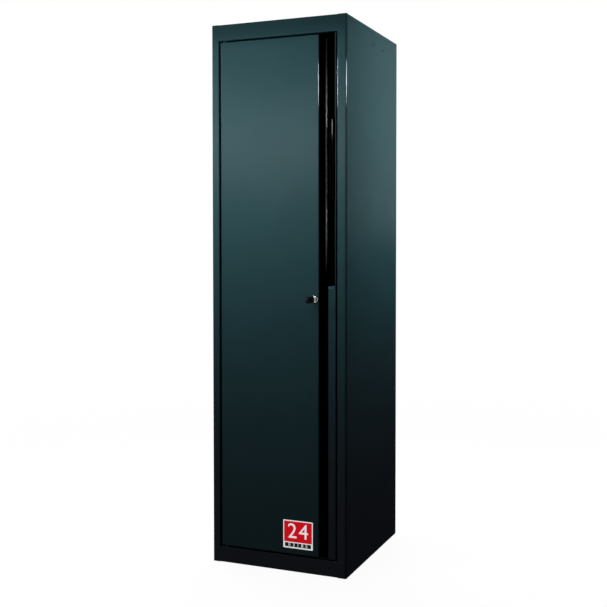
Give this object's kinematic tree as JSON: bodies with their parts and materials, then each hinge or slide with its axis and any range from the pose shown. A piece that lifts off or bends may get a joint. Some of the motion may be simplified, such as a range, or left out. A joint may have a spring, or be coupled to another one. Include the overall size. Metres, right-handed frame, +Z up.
{
  "type": "tool chest side locker",
  "caption": "Tall narrow steel side locker with a full-height hinged door, recessed pull channel, black grip, key lock with locking rods, and adjustable shelves.",
  "frame": {"origin": "on the floor, at the middle of the space taken up by the closed locker with its key in the lock", "axes": "+Z up; +X to the right of somebody facing the door; +Y from the door to the back"},
  "size_m": [0.4, 0.5008, 1.5],
  "materials": {
    "body_paint": "semi-gloss powder coat, very dark blue green",
    "grip_plastic": "glossy black moulding",
    "black_plastic": "satin black moulding",
    "chrome": "polished chrome plate",
    "zinc_steel": "bright zinc plate",
    "rivet_aluminium": "mill finish",
    "nylon": "natural nylon",
    "rubber": "soft black rubber",
    "label_film": "printed vinyl film"
  },
  "bodies": {
    "cabinet": {"left_side_panel": "body_paint", "right_side_panel": "body_paint", "back_panel": "body_paint", "back_panel_rivets": "rivet_aluminium", "roof_panel": "body_paint", "top_rail": "body_paint", "bottom_rail": "body_paint", "floor_panel": "body_paint", "upper_pivot_bracket": "zinc_steel", "lower_pivot_bracket": "zinc_steel", "upper_hinge_pin": "zinc_steel", "lower_hinge_pin": "zinc_steel", "pivot_bracket_screws": "zinc_steel", "upper_rod_keeper": "zinc_steel", "lower_rod_keeper": "zinc_steel", "door_stop_brackets": "body_paint", "door_buffers": "rubber", "front_left_upright": "zinc_steel", "front_right_upright": "zinc_steel", "rear_left_upright": "zinc_steel", "rear_right_upright": "zinc_steel", "lower_shelf": "body_paint", "middle_shelf": "body_paint", "upper_shelf": "body_paint", "shelf_clips": "zinc_steel"},
    "door": {"door_panel": "body_paint", "handle_channel": "body_paint", "channel_end_caps": "body_paint", "door_stiffener": "body_paint", "grip_handle": "grip_plastic", "grip_screws": "zinc_steel", "upper_pivot_bush": "nylon", "lower_pivot_bush": "nylon", "lock_barrel": "chrome", "lock_clip": "zinc_steel", "lock_escutcheon": "black_plastic", "spindle_support": "zinc_steel", "rod_guides": "nylon", "guide_screws": "zinc_steel", "number_label": "label_film"},
    "lock_core": {"lock_plug": "chrome", "lock_spindle": "zinc_steel", "crank_plate": "zinc_steel", "crank_screw": "zinc_steel", "key_blade": "chrome"},
    "key_head": {"key_head": "black_plastic", "key_pivot_pin": "zinc_steel"},
    "upper_rod": {"upper_locking_rod": "zinc_steel"},
    "lower_rod": {"lower_locking_rod": "zinc_steel"}
  },
  "joints": [
    {"name": "door_swing", "type": "hinge", "parent": "cabinet", "child": "door", "pos_m": [-0.1615, -0.1804, 0.75], "axis": [0, 0, -1], "range_deg": [0, 115]},
    {"name": "lock_turn", "type": "hinge", "parent": "door", "child": "lock_core", "pos_m": [0.1094, -0.1904, 0.746], "axis": [0, 1, 0], "range_deg": [0, 90]},
    {"name": "key_fold", "type": "hinge", "parent": "lock_core", "child": "key_head", "pos_m": [0.1094, -0.2104, 0.746], "axis": [1, 0, 0], "range_deg": [-90, 90]},
    {"name": "upper_rod_slide", "type": "slide", "parent": "door", "child": "upper_rod", "axis": [0, 0, 1], "range_m": [0, 0.0199]},
    {"name": "lower_rod_slide", "type": "slide", "parent": "door", "child": "lower_rod", "axis": [0, 0, -1], "range_m": [0, 0.0199]}
  ],
  "couplings": [
    {"joint": "upper_rod_slide", "follows": "lock_turn", "m_per_rad": 0.012604},
    {"joint": "lower_rod_slide", "follows": "lock_turn", "m_per_rad": 0.012604}
  ]
}
